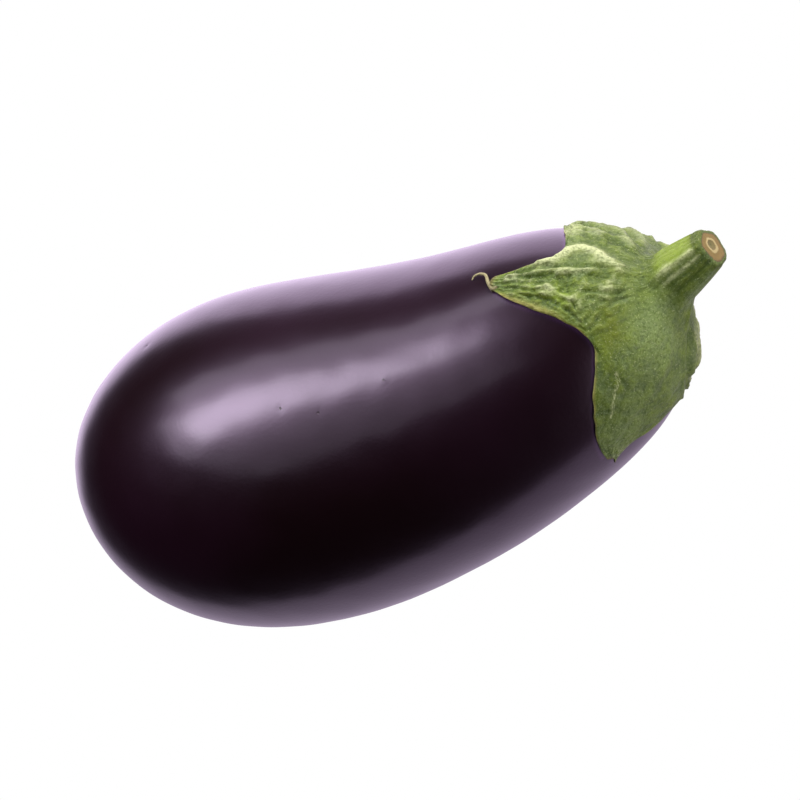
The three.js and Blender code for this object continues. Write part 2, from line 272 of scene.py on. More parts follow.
def direction(heading, pitch):
    """Unit vectors with this heading from +X towards +Y and this pitch above the ground."""
    return np.stack([
        np.cos(pitch) * np.cos(heading),
        np.cos(pitch) * np.sin(heading),
        np.sin(pitch) + 0 * heading,
    ], axis=-1)


def centreline_direction(distance):
    """The heading changes by a line plus a cube of the place along the fruit, the pitch by a line."""
    place = distance / FRUIT_LENGTH - 0.5
    return direction(SIDE_BEND * place + SIDE_BEND_FADE * place**3, REST_PITCH + UPWARD_BEND * place)


centreline_step = FRUIT_LENGTH / CENTRELINE_STEPS
centreline_marks = np.arange(CENTRELINE_STEPS + 1) * centreline_step
centreline_moves = centreline_direction(centreline_marks[:-1] + centreline_step / 2) * centreline_step
centreline = BLOSSOM_POLE + np.vstack([np.zeros(3), np.cumsum(centreline_moves, axis=0)])


def centreline_point(distance):
    """Points on the centreline, between the traced ones."""
    return np.stack([np.interp(distance, centreline_marks, centreline[:, i]) for i in range(3)], axis=-1)


def fruit_profile(angle):
    """Distance along the centreline and radius, for an angle from 0 at the blossom end to pi at the stalk:
    half an ellipse made fuller or slimmer by three cosines."""
    fullness = (1 + HEAVY_BLOSSOM_END * np.cos(angle) + BLUNT_ENDS * np.cos(2 * angle)
                + SLIM_WAIST * np.cos(3 * angle))
    return FRUIT_LENGTH * (1 - np.cos(angle)) / 2, FRUIT_RADIUS * np.sin(angle) * fullness


def circle_point(centre, axis, radius, azimuth):
    """Points of circles round an axis. Azimuth 0 is the highest point and a quarter turn is the +Y side."""
    side = np.cross([0.0, 0.0, 1.0], axis)
    side /= np.linalg.norm(side, axis=-1, keepdims=True)
    up = np.cross(axis, side)
    radius, azimuth = np.broadcast_arrays(radius, azimuth)
    return centre + (radius * np.cos(azimuth))[..., None] * up + (radius * np.sin(azimuth))[..., None] * side


def fruit_point(angle, azimuth):
    """Points of the smooth fruit."""
    distance, radius = fruit_profile(angle)
    return circle_point(centreline_point(distance), centreline_direction(distance), radius, azimuth)


def fruit_normal(angle, azimuth, step=0.001):
    """Outward normals, from two short steps along the skin."""
    along = fruit_point(angle + step, azimuth) - fruit_point(angle - step, azimuth)
    around = fruit_point(angle, azimuth + step) - fruit_point(angle, azimuth - step)
    normal = np.cross(along, around)
    return normal / np.linalg.norm(normal, axis=-1, keepdims=True)


# Distance from the stalk's pole along the skin, called reach, against the profile's angle
REACH_STEPS = 1600
reach_angles = np.linspace(np.pi, 0, REACH_STEPS + 1)
profile_distance, profile_radius = fruit_profile(reach_angles)
reach_table = np.append(0, np.cumsum(np.hypot(np.diff(profile_distance), np.diff(profile_radius))))


def above_skin(reach, azimuth_degrees, height):
    """Points this high above the fruit's skin, at a reach from the stalk's pole and an azimuth in degrees."""
    reach, azimuth, height = np.broadcast_arrays(reach, np.radians(azimuth_degrees), height)
    angle = np.interp(np.maximum(reach, 0.01), reach_table, reach_angles)
    return fruit_point(angle, azimuth) + height[..., None] * fruit_normal(angle, azimuth)


LUMP_WAVES = 14
LUMP_GAIN = 2.2


def lumps(points, size, seed):
    """Smooth unevenness of this size, mostly from -1 to 1: the mean of sine waves in random directions."""
    draw = np.random.default_rng(seed)
    across = draw.normal(size=(LUMP_WAVES, 3))
    across /= np.linalg.norm(across, axis=1, keepdims=True)
    waves = np.sin(points @ across.T * (2 * np.pi / size) + draw.uniform(0, 2 * np.pi, LUMP_WAVES))
    return LUMP_GAIN * waves.mean(axis=-1)


class Skin:
    """Rows of points joined by faces that point outwards. Each can keep numbers that say where it lies."""

    def __init__(self):
        self.points, self.places, self.faces, self.count = [], [], [], 0

    def row(self, points, places=None):
        """Adds a row of points and gives their numbers back."""
        points = np.atleast_2d(points)
        self.points.append(points)
        self.places.append(np.zeros((len(points), 1)) if places is None else np.atleast_2d(places))
        self.count += len(points)
        return np.arange(self.count - len(points), self.count)

    def strip(self, lower, upper):
        """Joins two open rows of the same length."""
        self.faces += np.stack([lower[:-1], upper[:-1], upper[1:], lower[1:]], axis=1).tolist()

    def band(self, lower, upper):
        """Joins two closed rings of the same length."""
        self.strip(np.append(lower, lower[0]), np.append(upper, upper[0]))

    def fan(self, centre, ring, upward):
        """Closes a ring with triangles to one point."""
        first, second = (np.roll(ring, -1), ring) if upward else (ring, np.roll(ring, -1))
        self.faces += np.stack([np.full(len(ring), centre[0]), first, second], axis=1).tolist()


def add_attribute(made, name, values):
    """A number for every point of a mesh, for its material to read."""
    made.data.attributes.new(name, "FLOAT", "POINT").data.foreach_set("value", np.asarray(values, np.float32))


def uneven_fruit_point(angle, azimuth):
    """The smooth fruit, moved along its normal by long waves, faint ripples, the hollow blossom end, the
    scar with its rim and the marks. Nothing goes below the ground."""
    points = fruit_point(angle, azimuth)
    normals = fruit_normal(np.clip(angle, 0.01, np.pi - 0.01), azimuth)
    height = SKIN_WAVE[0] * lumps(points, SKIN_WAVE[1], seed=3)
    height = height + SKIN_RIPPLE[0] * lumps(points, SKIN_RIPPLE[1], seed=5)
    from_blossom = np.linalg.norm(points - BLOSSOM_POLE, axis=-1) / SCAR_RADIUS
    rim_share, rim_place, rim_width = SCAR_RIM
    height = height - SCAR_DEPTH * np.exp(-from_blossom**2)
    height = height + rim_share * SCAR_DEPTH * np.exp(-((from_blossom - rim_place) / rim_width)**2)
    height = height - BLOSSOM_SINK[0] * np.exp(-(from_blossom / BLOSSOM_SINK[1])**2)
    for mark_azimuth, mark_reach, mark_radius, mark_depth in SKIN_MARKS:
        mark = above_skin(mark_reach, mark_azimuth, 0)
        away = np.linalg.norm(points - mark, axis=-1) / mark_radius
        height = height - mark_depth * np.exp(-away**2)
    points = points + height[..., None] * normals
    points[..., 2] = np.maximum(points[..., 2], 0)
    return points


def fine_grain_group():
    """Grain that all the plant's surfaces share: a noise value from 0 to 1, and a normal roughened by it."""
    group = bpy.data.node_groups.new("fine_grain", "ShaderNodeTree")
    for name in ("Scale", "Strength", "Depth"):
        group.interface.new_socket(name, in_out="INPUT", socket_type="NodeSocketFloat")
    group.interface.new_socket("Grain", in_out="OUTPUT", socket_type="NodeSocketFloat")
    group.interface.new_socket("Normal", in_out="OUTPUT", socket_type="NodeSocketVector")
    given = add_node(group, "NodeGroupInput").outputs
    place = add_node(group, "ShaderNodeTexCoord").outputs["Object"]
    noise = add_node(group, "ShaderNodeTexNoise", {
        "Vector": place, "Scale": given["Scale"], "Detail": 3, "Roughness": 0.6,
    })
    bump = add_node(group, "ShaderNodeBump", {
        "Height": noise.outputs["Fac"], "Strength": given["Strength"], "Distance": given["Depth"],
    })
    add_node(group, "NodeGroupOutput", {"Grain": noise.outputs["Fac"], "Normal": bump.outputs["Normal"]})
    return group


fine_grain = fine_grain_group()


def add_grain(tree, scale, strength, depth):
    """Places the grain in a material, with its own size, strength and depth in metres."""
    return add_node(tree, "ShaderNodeGroup", {
        "Scale": scale, "Strength": strength, "Depth": depth,
    }, node_tree=fine_grain).outputs


def read_number(tree, name):
    """A number that is stored at the mesh's points."""
    return add_node(tree, "ShaderNodeAttribute", attribute_name=name).outputs["Fac"]


def noise(tree, place, scale, detail=3, rough=0.5):
    """Cloudy noise from 0 to 1."""
    return add_node(tree, "ShaderNodeTexNoise", {
        "Vector": place, "Scale": scale, "Detail": detail, "Roughness": rough,
    }).outputs["Fac"]


def ranged(tree, value, low, high, to_low=0.0, to_high=1.0):
    """The value carried from one range to another, and kept within it."""
    return add_node(tree, "ShaderNodeMapRange", {
        "Value": value, "From Min": low, "From Max": high, "To Min": to_low, "To Max": to_high,
    }).outputs["Result"]


def combined(tree, operation, *values):
    """A sum, a product or the like of two or three values."""
    return add_node(tree, "ShaderNodeMath", dict(enumerate(values)), operation=operation).outputs[0]


def mixed(tree, part, first, second):
    """The colour part of the way from the first to the second."""
    return add_node(tree, "ShaderNodeMix", {0: part, 6: first, 7: second}, data_type="RGBA").outputs[2]


def pit_marks(tree, place):
    """1 in the middle of each of the skin's marks, falling smoothly to 0 at the pit's radius."""
    pits = 0.0
    for mark_azimuth, mark_reach, _, _ in SKIN_MARKS:
        away = add_node(tree, "ShaderNodeVectorMath", {
            0: place, 1: (above_skin(mark_reach, mark_azimuth, 0) * MM).tolist(),
        }, operation="DISTANCE")
        pit = add_node(tree, "ShaderNodeMapRange", {
            "Value": away.outputs["Value"], "From Min": 0, "From Max": PIT_RADIUS * MM,
            "To Min": 1, "To Max": 0,
        }, interpolation_type="SMOOTHSTEP")
        pits = combined(tree, "MAXIMUM", pit.outputs["Result"], pits)
    return pits


def skin_material():
    """Near-black purple under a clear wax, violet along the cap's edge, with a corky scar and dark pits."""
    material, tree, output = new_material("eggplant_skin")
    place = add_node(tree, "ShaderNodeTexCoord").outputs["Object"]
    patches = noise(tree, place, 14)
    scar = read_number(tree, "scar")
    pits = pit_marks(tree, place)
    colour = mixed(tree, ranged(tree, patches, 0.38, 0.68), SKIN_BLACK, SKIN_PURPLE)
    colour = mixed(tree, read_number(tree, "cap_edge"), colour, SKIN_VIOLET)
    colour = mixed(tree, scar, colour, SCAR_BROWN)
    colour = mixed(tree, pits, colour, PIT_BROWN)
    gloss = ranged(tree, patches, 0.3, 0.7, *SKIN_ROUGHNESS)
    grain = add_grain(tree, 900, 0.09, 0.0004)
    pitted = add_node(tree, "ShaderNodeBump", {
        "Height": pits, "Strength": 0.6, "Distance": 0.0004, "Normal": grain["Normal"],
    }, invert=True)
    surface = add_node(tree, "ShaderNodeBsdfPrincipled", {
        "Base Color": colour,
        "Roughness": combined(tree, "MULTIPLY_ADD", scar, SCAR_ROUGHER, gloss),
        "Specular IOR Level": 0.5,
        "Specular Tint": (0.97, 0.70, 1.0, 1.0),
        "Coat Weight": 0.5,
        "Coat Roughness": 0.19,
        "Coat IOR": 1.45,
        "Coat Tint": (1.0, 0.97, 1.0, 1.0),
        "Normal": pitted.outputs["Normal"],
    })
    tree.links.new(surface.outputs[0], output.inputs["Surface"])
    return material


ring_angles = np.pi * np.arange(1, FRUIT_RINGS) / FRUIT_RINGS
segment_azimuths = 2 * np.pi * np.arange(FRUIT_SEGMENTS) / FRUIT_SEGMENTS
fruit_skin = Skin()
blossom_pole = fruit_skin.row(BLOSSOM_POLE + SCAR_DEPTH * centreline_direction(np.array([0.0])))
fruit_rings = [
    fruit_skin.row(uneven_fruit_point(np.full(FRUIT_SEGMENTS, angle), segment_azimuths))
    for angle in ring_angles
]
fruit_skin.fan(blossom_pole, fruit_rings[0], upward=False)
for lower_ring, upper_ring in zip(fruit_rings, fruit_rings[1:]):
    fruit_skin.band(lower_ring, upper_ring)
fruit_skin.fan(fruit_skin.row(centreline[-1]), fruit_rings[-1], upward=True)
fruit_points = np.vstack(fruit_skin.points)
fruit = new_object("eggplant_fruit", fruit_points, fruit_skin.faces, skin_material())
scar_distance = np.linalg.norm(fruit_points - BLOSSOM_POLE, axis=1)
scar_distance = scar_distance * (1 + SCAR_OUTLINE[0] * lumps(fruit_points, SCAR_OUTLINE[1], seed=34))
add_attribute(fruit, "scar", np.exp(-(scar_distance / SCAR_RADIUS)**4))
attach(fruit, "root")
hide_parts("fruit")

# Cap: calyx and stalk. They are one growth of green tissue: a disc on the fruit's shoulder that splits into
# five sepals, and a ribbed stalk that rises from the disc's middle and was cut with a knife. Azimuth is in
# degrees, 0 upwards and 90 towards +Y, and reach is the distance from the stalk's pole along the skin.
NOTCH_REACH = 30.5
FLARE_REACH = 12
# The stalk's own points count as this far from the pole
STALK_REACH = 7
# Folds, ribs and wrinkles rise from nothing to their full height between these two reaches
RELIEF_REACH = (8.5, 21)
SEPAL_COLUMNS = 72
SEPAL_ROWS = 58
UNDERSIDE_RINGS = 10
DISC_RINGS = 26
SKIN_GAP = 0.1
TIP_CORNER = 0.9
DISC_THICKNESS = 1.1
EDGE_THICKNESS = 0.45
MIDDLE_THICKNESS = 1.15
LEAST_THICKNESS = 0.2
# A sepal's edge is rounded over this width, down to this share of its thickness
ROUNDED_WIDTH = 0.9
ROUNDED_SHARE = 0.45
# The rounding begins outside the notches, over this share of a sepal's length
ROUNDING_START = 0.12
MIDRIB_HEIGHT = 0.4
MIDRIB_WIDTH = 1.3
EDGE_LIFT = 0.35
WAVE_LIFT = 0.2
WAVES_PER_EDGE = 2.5
# Unevenness: height and size, or for the edge how far it wanders and over what length
EDGE_WANDER = (0.35, 6)
PUCKER = (0.8, 6.5)
WRINKLE = (0.30, 2.2)
FINE_WRINKLE = (0.12, 1.15)
SMOOTH_FRONT = 0.2
# Ribs run from the cap's middle to a sepal's tip: height, how many, how far they wander and over what length
RIB_HEIGHT = 0.26
RIBS_ACROSS = 7
RIB_WANDER = (0.10, 9)
# A sepal narrower than this has lower ribs, down to the share beside it
RIB_FULL_WIDTH = 12
RIB_LEAST_SHARE = 0.4
# Each sepal runs between two edges. An edge leaves its notch along the circle at NOTCH_REACH, turns at its
# shoulder and runs to the tip. The pillow is where the sepal puffs up off the fruit.
SEPALS = (
    {"name": "front", "tip_notch": 2.0, "tip_lift": 0.2, "pillow": (22, 7, 0.4),
     "start": ((-110, NOTCH_REACH), (-93, NOTCH_REACH), (-64, 45), (-75.5, 51.9)),
     "end": ((-10.5, NOTCH_REACH), (-22, NOTCH_REACH), (-43, 46), (-67.2, 51.3))},
    {"name": "left", "tip_notch": -0.7, "tip_lift": 0.5, "pillow": (22, 7, 0.5),
     "start": ((-10.5, NOTCH_REACH), (10, NOTCH_REACH), (22, 44.5), (34.6, 50.2)),
     "end": ((56.5, NOTCH_REACH), (47, NOTCH_REACH), (44.5, 39), (42.5, 49.8))},
    {"name": "top", "tip_notch": 0, "tip_lift": 0, "pillow": (28, 6, 0.0),
     "start": ((56.5, NOTCH_REACH), (65, NOTCH_REACH), (76, 32.6), (83, 34.4)),
     "end": ((107, NOTCH_REACH), (99, NOTCH_REACH), (92, 32.6), (87, 34.4))},
    {"name": "back", "tip_notch": 0, "tip_lift": 0.8, "pillow": (20, 7, 2.4),
     "start": ((107, NOTCH_REACH), (121, NOTCH_REACH), (137, 40), (144.5, 47)),
     "end": ((180, NOTCH_REACH), (167, NOTCH_REACH), (154, 40), (147, 47))},
    {"name": "right", "tip_notch": 0, "tip_lift": 0.6, "pillow": (24, 6, 0.3),
     "start": ((180, NOTCH_REACH), (194, NOTCH_REACH), (208, 38), (216, 43)),
     "end": ((250, NOTCH_REACH), (238, NOTCH_REACH), (226, 38), (218.5, 43))},
)
# The fold that loops over the left sepal's upper edge, and the valley between the front and the right sepal
MAIN_FOLD = (
    (45, 37), (45.5, 32.5), (53, 29), (55.5, 26), (52.5, 22.7), (45.5, 19.6), (38.5, 16.3), (37.5, 12),
)
VALLEY = ((-102, 12.5), (-94, 18), (-97, 24), (-104, 27.6), (-110, 31))
# Folds and grooves: places along each as azimuth and reach, its height (below 0: a groove) and half width
FOLDS = (
    (MAIN_FOLD, 1.05, 1.5),
    (((39, 45.3), (38.5, 35.5), (35.5, 31), (35, 26), (32.5, 22)), 0.85, 1.0),
    (((31, 46), (27, 37), (17, 31)), 0.45, 1.3),
    (((92, 32), (101, 26), (96, 20), (80, 14), (80, 11)), 0.75, 1.5),
    (((133, 38), (122, 27), (114, 20), (96, 13)), 1.0, 1.6),
    (((160, 40), (150, 28), (140, 18)), 0.7, 1.8),
    (((-124, 12), (-118, 18), (-117, 22.5)), 1.6, 2.4),
    (((-112, 14), (-105, 19), (-106, 23)), 1.3, 1.5),
    (((90, 30), (82, 24), (74, 19), (66, 14)), -0.5, 1.2),
    (((108, 31), (109, 25), (104, 18)), -1.0, 1.4),
    (VALLEY, -2.0, 1.2),
)
# Beside each fold runs a shallow groove: depth as a share of the fold, and place and width in half widths
FOLD_GROOVE = (0.25, 2, 0.9)

STEM_LENGTH = 17.7
STEM_HEADING = np.radians(18.4)
STEM_PITCH = np.radians(4.5)
STEM_ROOT_OFFSET = np.array([0, 1.8, 1.4])
STEM_BOW = -0.4
STEM_FOOT = 6
STEM_FOOT_RADIUS = 7.4
STEM_CUT_RADIUS = 5.6
STEM_RIB = 0.05
# Flutes along the stalk: height, how many go round, and their twist in radians per millimetre
STEM_FLUTES = ((0.05, 11, 0.05), (0.05, 23, 0.11))
# Ridges and a groove along the stalk: azimuth, half width and height
STEM_RIDGES = ((14, 9, 0.35), (-7, 5, 0.22), (-38, 8, -0.40), (55, 10, 0.2))
STEM_RINGS = 34
FILLET_RINGS = 16
FILLET_REACH_IN = 2.6
FILLET_REACH_DOWN = 3.6
# The hollow at the stalk's foot is tightest, by this share, at this azimuth
FILLET_TIGHT_SHARE = 0.5
FILLET_TIGHT_AZIMUTH = np.radians(-70)
CUT_NORMAL = direction(np.radians(13), np.radians(8.5))
CUT_BEVEL = 1.0
SHOULDER_BEVEL = 2.0
SHOULDER_AZIMUTH = np.radians(75)
SHOULDER_RINGS = 7
FACE_SHARE = 0.76
FACE_OFFSET = -1.2
PITH_OFFSET = 1.9
FACE_RINGS = 14
# The wood stands up in a ring round the sunk pith: height, then place and width as shares of the way out
RING_RELIEF = 0.16
WOOD_RING = (0.44, 0.12)
PITH_DEPTH = 1.2 * RING_RELIEF
PITH_WIDTH = 0.25
# The place called cut is 0 at the pith, 1 at the face's edge and 2 off the cut
ROUNDED_SHOULDER = 1.5
OFF_THE_CUT = 2.0
# The place called stalk is 0 on the disc, this at the top of the hollow foot, and 1 at the cut
STALK_FOOT = 0.3


def lerp(a, b, part):
    """The value part of the way from a to b."""
    return a + (b - a) * part


def smoothstep(value, low, high):
    """0 below low, 1 above high, and a smooth S between them."""
    part = np.clip((value - low) / (high - low), 0, 1)
    return part * part * (3 - 2 * part)


def flat_place(azimuth_degrees, reach):
    """The cap's skin unrolled, in millimetres: reach is the distance from the middle, azimuth the angle."""
    azimuth = np.radians(azimuth_degrees)
    return np.stack([reach * np.cos(azimuth), reach * np.sin(azimuth)], axis=-1)


def distance_to_line(flat, corners):
    """Shortest distance from unrolled places to a line through corners given as azimuth and reach."""
    stops = flat_place(*np.array(corners, float).T)
    nearest = np.full(flat.shape[:-1], np.inf)
    for start, stop in zip(stops, stops[1:]):
        stretch = stop - start
        part = np.clip(((flat - start) @ stretch) / (stretch @ stretch), 0, 1)
        away = np.linalg.norm(flat - start - part[..., None] * stretch, axis=-1)
        nearest = np.minimum(nearest, away)
    return nearest


def flat_lumps(flat, size, seed):
    """Smooth unevenness over the unrolled cap."""
    return lumps(np.concatenate([flat, 0 * flat[..., :1]], axis=-1), size, seed)


def fold_height(flat):
    """Bell-shaped ridges along the folds, each with a shallow groove on both sides."""
    groove_share, groove_place, groove_width = FOLD_GROOVE
    height = 0
    for corners, top, half_width in FOLDS:
        away = distance_to_line(flat, corners) / half_width
        groove = groove_share * np.exp(-((away - groove_place) / groove_width)**2)
        height = height + top * (np.exp(-away**2) - groove)
    return height


def cap_relief(sepal, flat, u, v, width):
    """Puckers, wrinkles and ribs, weak on the smooth front, with the folds and the midrib added. u runs
    across a sepal from 0 to 1 and v from the notches out to its tip."""
    middle = np.sin(np.pi * u)**0.7
    rugged = SMOOTH_FRONT if sepal["name"] == "front" else lerp(SMOOTH_FRONT, 1, np.sin(np.pi * u)**0.5)
    pucker = PUCKER[0] * flat_lumps(flat, PUCKER[1], seed=11) * middle
    wrinkle = WRINKLE[0] * flat_lumps(flat, WRINKLE[1], seed=12)
    wrinkle = wrinkle + FINE_WRINKLE[0] * flat_lumps(flat, FINE_WRINKLE[1], seed=14)
    wander = RIB_WANDER[0] * flat_lumps(flat, RIB_WANDER[1], seed=13)
    ribs = RIB_HEIGHT * np.sin(2 * np.pi * RIBS_ACROSS * (u + wander)) * middle
    ribs = ribs * np.clip(width / RIB_FULL_WIDTH, RIB_LEAST_SHARE, 1)
    midrib = MIDRIB_HEIGHT * (1 - 0.6 * v) * np.exp(-((u - 0.5) * width / MIDRIB_WIDTH)**2)
    return (pucker + wrinkle + ribs) * rugged + fold_height(flat) + midrib


def cap_heights(sepal, azimuth_degrees, reach, u, v, width):
    """Heights of the underside and the top above the fruit, and the relief of the top alone. The disc
    passes into a blade that thins towards its edges and its tip, lifts its edges in waves and puffs up
    over the pillow."""
    reach_from, spread, puff = sepal["pillow"]
    middle = np.sin(np.pi * u)**0.7
    edge = np.abs(2 * u - 1)**3
    outward = smoothstep(reach, FLARE_REACH, NOTCH_REACH)
    wave = WAVE_LIFT * np.sin(2 * np.pi * WAVES_PER_EDGE * v + 4 * u) * np.sqrt(v)
    pillow = puff * np.exp(-((reach - reach_from) / spread)**2) * np.sin(np.pi * u)**1.2
    underside = SKIN_GAP + edge * (EDGE_LIFT + wave) * outward + sepal["tip_lift"] * v**4 + pillow
    blade = EDGE_THICKNESS + (MIDDLE_THICKNESS - EDGE_THICKNESS) * middle * (1 - 0.4 * v)
    thickness = lerp(DISC_THICKNESS, blade, outward)
    past_notch = smoothstep(v, 0, ROUNDING_START)
    rounding = np.clip(np.minimum(u, 1 - u) * width / ROUNDED_WIDTH, 0, 1)
    quarter_round = lerp(ROUNDED_SHARE, 1, np.sqrt(rounding * (2 - rounding)))
    thickness = thickness * lerp(1, quarter_round, past_notch)
    relief = cap_relief(sepal, flat_place(azimuth_degrees, reach), u, v, width)
    relief = relief * smoothstep(reach, *RELIEF_REACH) * lerp(1, rounding, past_notch)
    return underside, underside + np.maximum(thickness + relief, LEAST_THICKNESS), relief


def bezier(corners, part):
    """Points of the cubic curve with these four corners."""
    a, b, c, d = (np.asarray(corner, float) for corner in corners)
    part = np.asarray(part, float)[..., None]
    return (1 - part)**3 * a + 3 * part * (1 - part)**2 * b + 3 * part**2 * (1 - part) * c + part**3 * d


def arc_width(reach, from_azimuth, to_azimuth):
    """Arc length in millimetres between two azimuths at a reach."""
    angle = np.interp(reach, reach_table, reach_angles)
    return np.radians(np.abs(to_azimuth - from_azimuth)) * fruit_profile(angle)[1]


def places(azimuth_degrees, reach, across=0.5, along=0, top=1, stalk=0, cut=OFF_THE_CUT, relief=0):
    """The places kept with a row of the cap's points: azimuth, reach, across and along a sepal, 1 on the
    top and 0 on the underside, up the stalk, out on the cut, and the relief's height."""
    columns = np.broadcast_arrays(azimuth_degrees, reach, across, along, top, stalk, cut, relief)
    return np.stack(columns, axis=-1).astype(float)


column_u = np.tile(np.arange(SEPAL_COLUMNS) / SEPAL_COLUMNS, len(SEPALS))
column_sepal = np.repeat(np.arange(len(SEPALS)), SEPAL_COLUMNS)
column_azimuth = np.concatenate([
    lerp(sepal["start"][0][0], sepal["end"][0][0], np.arange(SEPAL_COLUMNS) / SEPAL_COLUMNS)
    for sepal in SEPALS
])


def disc_points(reach, face):
    """One ring of the disc, on its underside (face 0) or its top (face 1)."""
    rows, reliefs = [], []
    for number, sepal in enumerate(SEPALS):
        mine = column_sepal == number
        azimuth = column_azimuth[mine]
        width = arc_width(reach, sepal["start"][0][0], sepal["end"][0][0])
        heights = cap_heights(sepal, azimuth, np.full(mine.sum(), reach), column_u[mine], 0, width)
        rows.append(above_skin(reach, azimuth, heights[face]))
        reliefs.append(heights[2])
    return np.vstack(rows), places(column_azimuth, reach, column_u, 0, face, relief=np.concatenate(reliefs))


def sepal_points(sepal, v, face):
    """One row of a sepal's points, from edge to edge. Near the tip the row is notched in the middle and
    drawn back at its corners, and the edges wander a little, as grown ones do."""
    from_azimuth, from_reach = bezier(sepal["start"], v)
    to_azimuth, to_reach = bezier(sepal["end"], v)
    u = np.arange(SEPAL_COLUMNS + 1) / SEPAL_COLUMNS
    width = arc_width((from_reach + to_reach) / 2, from_azimuth, to_azimuth)
    azimuth = lerp(from_azimuth, to_azimuth, u)
    reach = lerp(from_reach, to_reach, u) - sepal["tip_notch"] * np.sin(np.pi * u) * v**6
    reach = reach - TIP_CORNER * np.abs(2 * u - 1)**6 * v**8
    flat = flat_place(azimuth, reach)
    wander = EDGE_WANDER[0] * np.abs(2 * u - 1)**4 * np.sin(np.pi * v)**0.5
    azimuth = azimuth + np.degrees(wander * flat_lumps(flat, EDGE_WANDER[1], seed=21) / np.maximum(reach, 1))
    reach = reach + wander * flat_lumps(flat, EDGE_WANDER[1], seed=22)
    heights = cap_heights(sepal, azimuth, reach, u, v, width)
    return above_skin(reach, azimuth, heights[face]), places(azimuth, reach, u, v, face, relief=heights[2])


stem_root = centreline[-1] + STEM_ROOT_OFFSET
stem_end = stem_root + direction(STEM_HEADING, STEM_PITCH) * STEM_LENGTH
stem_elbow = (stem_root + stem_end) / 2 + np.array([0, STEM_BOW, 0])
stem_end_direction = (stem_end - stem_elbow) / np.linalg.norm(stem_end - stem_elbow)


def stem_axis(part):
    """Point and direction of the stalk's bowed axis, from its root at 0 to the cut at 1."""
    point = (1 - part)**2 * stem_root + 2 * part * (1 - part) * stem_elbow + part**2 * stem_end
    tangent = (1 - part) * (stem_elbow - stem_root) + part * (stem_end - stem_elbow)
    return point, tangent / np.linalg.norm(tangent)


def stem_points(height):
    """A ring of the stalk: round, with a rib above the middle of each sepal and finer flutes."""
    point, tangent = stem_axis(height / STEM_LENGTH)
    below = (STEM_LENGTH - height) / (STEM_LENGTH - STEM_FOOT)
    azimuth = np.radians(column_azimuth)
    radius = lerp(STEM_CUT_RADIUS, STEM_FOOT_RADIUS, below) * (1 - STEM_RIB * np.cos(2 * np.pi * column_u))
    for flute_height, count, twist in STEM_FLUTES:
        radius = radius + flute_height * np.sin(count * azimuth + twist * height)
    for ridge_azimuth, half_width, top in STEM_RIDGES:
        radius = radius + top * np.exp(-((column_azimuth - ridge_azimuth) / half_width)**2)
    return circle_point(point, tangent, radius, azimuth)


def cut_points():
    """The stalk's end ring, carried along the stalk onto the slanted plane of the cut."""
    rim = stem_points(STEM_LENGTH)
    short = ((stem_end - rim) @ CUT_NORMAL) / (stem_end_direction @ CUT_NORMAL)
    return rim + short[:, None] * stem_end_direction


def rim_points():
    """The last ring of the stalk's side. It lies lower on the side where the cut's shoulder is rounded."""
    facing = np.maximum(np.cos(np.radians(column_azimuth) - SHOULDER_AZIMUTH), 0)**2
    return cut_points() - (CUT_BEVEL + SHOULDER_BEVEL * facing)[:, None] * stem_end_direction


def fillet_points(part):
    """The hollow curve from the disc up into the stalk's foot, tighter on one side."""
    foot = stem_points(STEM_FOOT)
    disc = disc_points(FLARE_REACH, 1)[0]
    inward = disc - disc_points(FLARE_REACH + 1, 1)[0]
    inward /= np.linalg.norm(inward, axis=1, keepdims=True)
    down = -stem_axis(STEM_FOOT / STEM_LENGTH)[1]
    facing = np.maximum(np.cos(np.radians(column_azimuth) - FILLET_TIGHT_AZIMUTH), 0)
    tight = (1 - FILLET_TIGHT_SHARE * facing)[:, None]
    from_disc = disc + FILLET_REACH_IN * inward / tight
    from_foot = foot + FILLET_REACH_DOWN * tight * down
    return bezier((disc, from_disc, from_foot, foot), part)


def add_sepal(skin, sepal, under, over):
    """One sepal between the notch rings of the underside and the top."""
    for row in range(1, SEPAL_ROWS + 1):
        next_under = skin.row(*sepal_points(sepal, row / SEPAL_ROWS, 0))
        next_over = skin.row(*sepal_points(sepal, row / SEPAL_ROWS, 1))
        skin.strip(under, next_under)
        skin.strip(next_over, over)
        skin.faces.append([int(next_under[0]), int(under[0]), int(over[0]), int(next_over[0])])
        skin.faces.append([int(under[-1]), int(next_under[-1]), int(next_over[-1]), int(over[-1])])
        under, over = next_under, next_over
    skin.strip(under, over)


cap_skin = Skin()
under_pole = cap_skin.row(above_skin(0, 0, SKIN_GAP), places(0, 0, top=0))
under_ring = None
for ring_number in range(1, UNDERSIDE_RINGS + 1):
    next_ring = cap_skin.row(*disc_points(NOTCH_REACH * ring_number / UNDERSIDE_RINGS, 0))
    if under_ring is None:
        cap_skin.fan(under_pole, next_ring, upward=False)
    else:
        cap_skin.band(under_ring, next_ring)
    under_ring = next_ring
over_ring = cap_skin.row(*disc_points(NOTCH_REACH, 1))
for number, sepal in enumerate(SEPALS):
    slice_of_ring = (number * SEPAL_COLUMNS + np.arange(SEPAL_COLUMNS + 1)) % len(column_u)
    add_sepal(cap_skin, sepal, under_ring[slice_of_ring], over_ring[slice_of_ring])


